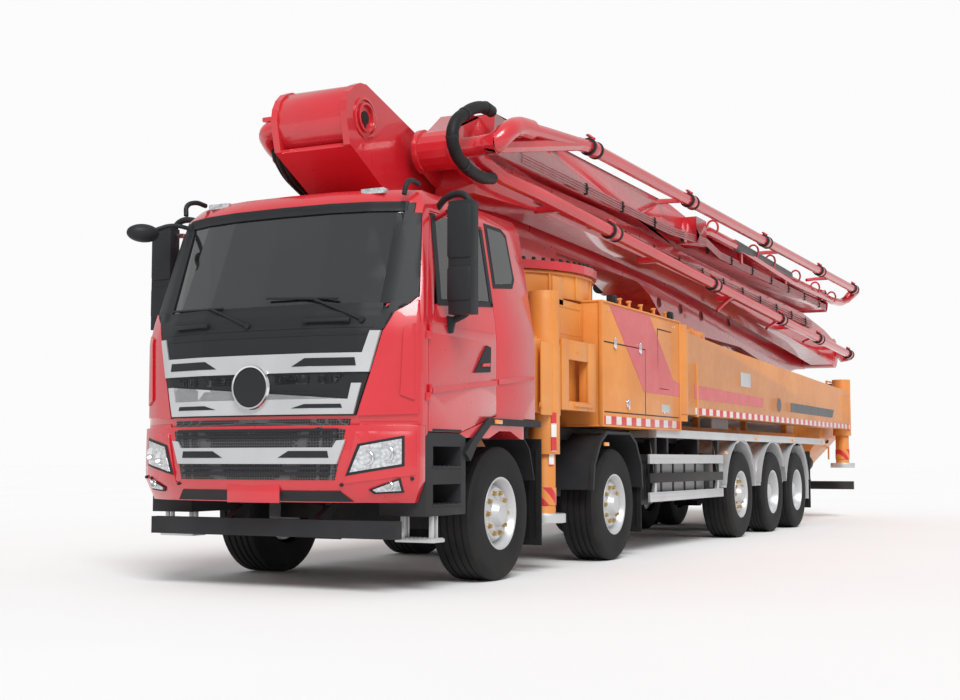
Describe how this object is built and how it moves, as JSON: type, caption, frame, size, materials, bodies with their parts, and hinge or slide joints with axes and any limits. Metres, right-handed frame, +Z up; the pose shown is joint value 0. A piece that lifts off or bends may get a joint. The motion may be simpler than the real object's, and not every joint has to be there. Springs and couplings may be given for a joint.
{
  "type": "concrete pump truck",
  "caption": "Five-axle lorry with a folded, slewing concrete placing boom over its cab, swing-out outriggers, rear hopper, steered front axles and opening doors.",
  "frame": {"origin": "on the ground under the middle of the overall box, boom and outriggers stowed", "axes": "+Z up, -Y towards the front of the cab, +X to the lorry's left"},
  "size_m": [3, 16.4839, 4.0154],
  "materials": {
    "red_paint": "gloss signal red paint",
    "orange_paint": "ochre orange machine enamel",
    "silver_paint": "satin",
    "dark_steel": "black chassis paint",
    "dark_plastic": "fine-grained charcoal",
    "tyre": "black rubber",
    "chrome": "polished rod",
    "glass": "tinted",
    "cloth": "dark woven seat cloth"
  },
  "bodies": {
    "truck": {"chassis_frame": "dark_steel", "engine": "dark_steel", "cab_shell": "red_paint", "windscreen": "glass", "dashboard": "dark_plastic", "seat_left": "cloth", "seat_right": "cloth", "bumper": "dark_plastic", "underrun_bar": "silver_paint", "subframe": "orange_paint", "pedestal": "orange_paint", "outrigger_carrier": "orange_paint", "side_box_left": "orange_paint", "side_box_right": "orange_paint", "side_guard_left": "silver_paint", "side_guard_right": "silver_paint", "hopper": "orange_paint", "pump_cylinders": "silver_paint", "axle_1": "dark_steel", "axle_2": "dark_steel", "axle_3": "dark_steel", "axle_4": "dark_steel", "axle_5": "dark_steel"},
    "door_left": {"door_left": "red_paint"},
    "door_right": {"door_right": "red_paint"},
    "hopper_grate": {"hopper_grate": "dark_steel"},
    "turret": {"turret": "red_paint"},
    "boom_1": {"boom_1": "red_paint"},
    "boom_2": {"boom_2": "red_paint"},
    "boom_3": {"boom_3": "red_paint"},
    "boom_4": {"boom_4": "red_paint"},
    "boom_5": {"boom_5": "red_paint"},
    "lift_barrel": {"lift_barrel": "red_paint"},
    "lift_rod": {"lift_rod": "chrome"},
    "front_outrigger_left": {"front_outrigger_left": "orange_paint"},
    "front_outrigger_right": {"front_outrigger_right": "orange_paint"},
    "front_leg_left": {"front_leg_left": "silver_paint"},
    "front_leg_right": {"front_leg_right": "silver_paint"},
    "rear_outrigger_left": {"rear_outrigger_left": "orange_paint"},
    "rear_outrigger_right": {"rear_outrigger_right": "orange_paint"},
    "rear_leg_left": {"rear_leg_left": "silver_paint"},
    "rear_leg_right": {"rear_leg_right": "silver_paint"},
    "wheel_1_left": {"wheel_1_left": "tyre"},
    "wheel_1_right": {"wheel_1_right": "tyre"},
    "wheel_2_left": {"wheel_2_left": "tyre"},
    "wheel_2_right": {"wheel_2_right": "tyre"},
    "wheel_3_left": {"wheel_3_left": "tyre"},
    "wheel_3_right": {"wheel_3_right": "tyre"},
    "wheel_4_left": {"wheel_4_left": "tyre"},
    "wheel_4_right": {"wheel_4_right": "tyre"},
    "wheel_5_left": {"wheel_5_left": "tyre"},
    "wheel_5_right": {"wheel_5_right": "tyre"},
    "knuckle_1_left": {"knuckle_1_left": "dark_steel"},
    "knuckle_1_right": {"knuckle_1_right": "dark_steel"},
    "knuckle_2_left": {"knuckle_2_left": "dark_steel"},
    "knuckle_2_right": {"knuckle_2_right": "dark_steel"}
  },
  "joints": [
    {"name": "steer_1_left", "type": "hinge", "parent": "truck", "child": "knuckle_1_left", "pos_m": [0.98, -6.50195, 0.54], "axis": [0, 0, 1], "range_deg": [-38, 38]},
    {"name": "roll_1_left", "type": "hinge", "parent": "knuckle_1_left", "child": "wheel_1_left", "pos_m": [1.08, -6.50195, 0.54], "axis": [1, 0, 0], "continuous": true},
    {"name": "steer_1_right", "type": "hinge", "parent": "truck", "child": "knuckle_1_right", "pos_m": [-0.98, -6.50195, 0.54], "axis": [0, 0, 1], "range_deg": [-38, 38]},
    {"name": "roll_1_right", "type": "hinge", "parent": "knuckle_1_right", "child": "wheel_1_right", "pos_m": [-1.08, -6.50195, 0.54], "axis": [1, 0, 0], "continuous": true},
    {"name": "steer_2_left", "type": "hinge", "parent": "truck", "child": "knuckle_2_left", "pos_m": [0.98, -3.94695, 0.54], "axis": [0, 0, 1], "range_deg": [-27, 27]},
    {"name": "roll_2_left", "type": "hinge", "parent": "knuckle_2_left", "child": "wheel_2_left", "pos_m": [1.08, -3.94695, 0.54], "axis": [1, 0, 0], "continuous": true},
    {"name": "steer_2_right", "type": "hinge", "parent": "truck", "child": "knuckle_2_right", "pos_m": [-0.98, -3.94695, 0.54], "axis": [0, 0, 1], "range_deg": [-27, 27]},
    {"name": "roll_2_right", "type": "hinge", "parent": "knuckle_2_right", "child": "wheel_2_right", "pos_m": [-1.08, -3.94695, 0.54], "axis": [1, 0, 0], "continuous": true},
    {"name": "roll_3_left", "type": "hinge", "parent": "truck", "child": "wheel_3_left", "pos_m": [1.08, 0.48805, 0.54], "axis": [1, 0, 0], "continuous": true},
    {"name": "roll_3_right", "type": "hinge", "parent": "truck", "child": "wheel_3_right", "pos_m": [-1.08, 0.48805, 0.54], "axis": [1, 0, 0], "continuous": true},
    {"name": "roll_4_left", "type": "hinge", "parent": "truck", "child": "wheel_4_left", "pos_m": [0.88, 2.04805, 0.54], "axis": [1, 0, 0], "continuous": true},
    {"name": "roll_4_right", "type": "hinge", "parent": "truck", "child": "wheel_4_right", "pos_m": [-0.88, 2.04805, 0.54], "axis": [1, 0, 0], "continuous": true},
    {"name": "roll_5_left", "type": "hinge", "parent": "truck", "child": "wheel_5_left", "pos_m": [0.88, 3.39805, 0.54], "axis": [1, 0, 0], "continuous": true},
    {"name": "roll_5_right", "type": "hinge", "parent": "truck", "child": "wheel_5_right", "pos_m": [-0.88, 3.39805, 0.54], "axis": [1, 0, 0], "continuous": true},
    {"name": "open_door_left", "type": "hinge", "parent": "truck", "child": "door_left", "pos_m": [1.262, -7.79395, 2], "axis": [0, 0, -1], "range_deg": [0, 75]},
    {"name": "extend_front_outrigger_left", "type": "slide", "parent": "truck", "child": "front_outrigger_left", "axis": [1, 0, 0], "range_m": [0, 1.5]},
    {"name": "lower_front_leg_left", "type": "slide", "parent": "front_outrigger_left", "child": "front_leg_left", "axis": [0, 0, -1], "range_m": [0, 0.6]},
    {"name": "swing_rear_outrigger_left", "type": "hinge", "parent": "truck", "child": "rear_outrigger_left", "pos_m": [1.09, -1.75195, 1.9], "axis": [0, 0, -1], "range_deg": [0, 100]},
    {"name": "lower_rear_leg_left", "type": "slide", "parent": "rear_outrigger_left", "child": "rear_leg_left", "axis": [0, 0, -1], "range_m": [0, 0.9]},
    {"name": "open_door_right", "type": "hinge", "parent": "truck", "child": "door_right", "pos_m": [-1.262, -7.79395, 2], "axis": [0, 0, 1], "range_deg": [0, 75]},
    {"name": "extend_front_outrigger_right", "type": "slide", "parent": "truck", "child": "front_outrigger_right", "axis": [-1, 0, 0], "range_m": [0, 1.5]},
    {"name": "lower_front_leg_right", "type": "slide", "parent": "front_outrigger_right", "child": "front_leg_right", "axis": [0, 0, -1], "range_m": [0, 0.6]},
    {"name": "swing_rear_outrigger_right", "type": "hinge", "parent": "truck", "child": "rear_outrigger_right", "pos_m": [-1.09, -1.75195, 1.9], "axis": [0, 0, 1], "range_deg": [0, 100]},
    {"name": "lower_rear_leg_right", "type": "slide", "parent": "rear_outrigger_right", "child": "rear_leg_right", "axis": [0, 0, -1], "range_m": [0, 0.9]},
    {"name": "open_grate", "type": "hinge", "parent": "truck", "child": "hopper_grate", "pos_m": [0, 6.87805, 1.715], "axis": [1, 0, 0], "range_deg": [0, 50]},
    {"name": "slew", "type": "hinge", "parent": "truck", "child": "turret", "pos_m": [0, -4.30195, 2.75], "axis": [0, 0, 1], "range_deg": [0, 360]},
    {"name": "raise_boom", "type": "hinge", "parent": "turret", "child": "boom_1", "pos_m": [0, -7.25195, 3.72], "axis": [1, 0, 0], "range_deg": [0, 88]},
    {"name": "unfold_boom_2", "type": "hinge", "parent": "boom_1", "child": "boom_2", "pos_m": [0, 7.89805, 2.85], "axis": [-1, 0, 0], "range_deg": [0, 180]},
    {"name": "unfold_boom_3", "type": "hinge", "parent": "boom_2", "child": "boom_3", "pos_m": [0, -6.45195, 3.59], "axis": [1, 0, 0], "range_deg": [0, 180]},
    {"name": "unfold_boom_4", "type": "hinge", "parent": "boom_3", "child": "boom_4", "pos_m": [0, 6.79805, 3.66], "axis": [-1, 0, 0], "range_deg": [0, 180]},
    {"name": "unfold_boom_5", "type": "hinge", "parent": "boom_4", "child": "boom_5", "pos_m": [0, -2.90195, 3.68], "axis": [1, 0, 0], "range_deg": [0, 180]},
    {"name": "tilt_lift_cylinder", "type": "hinge", "parent": "turret", "child": "lift_barrel", "pos_m": [0, -3.75195, 3.02], "axis": [-1, 0, 0], "range_deg": [0, 24]},
    {"name": "extend_lift_cylinder", "type": "slide", "parent": "lift_barrel", "child": "lift_rod", "axis": [0, -0.991, 0.1336], "range_m": [0, 1.2826]}
  ],
  "couplings": [
    {"joint": "steer_1_right", "follows": "steer_1_left", "ratio": 1},
    {"joint": "steer_2_left", "follows": "steer_1_left", "ratio": 0.7},
    {"joint": "steer_2_right", "follows": "steer_1_left", "ratio": 0.7},
    {"joint": "tilt_lift_cylinder", "follows": "raise_boom", "ratio": 0.2716},
    {"joint": "extend_lift_cylinder", "follows": "raise_boom", "m_per_rad": 0.8338}
  ]
}
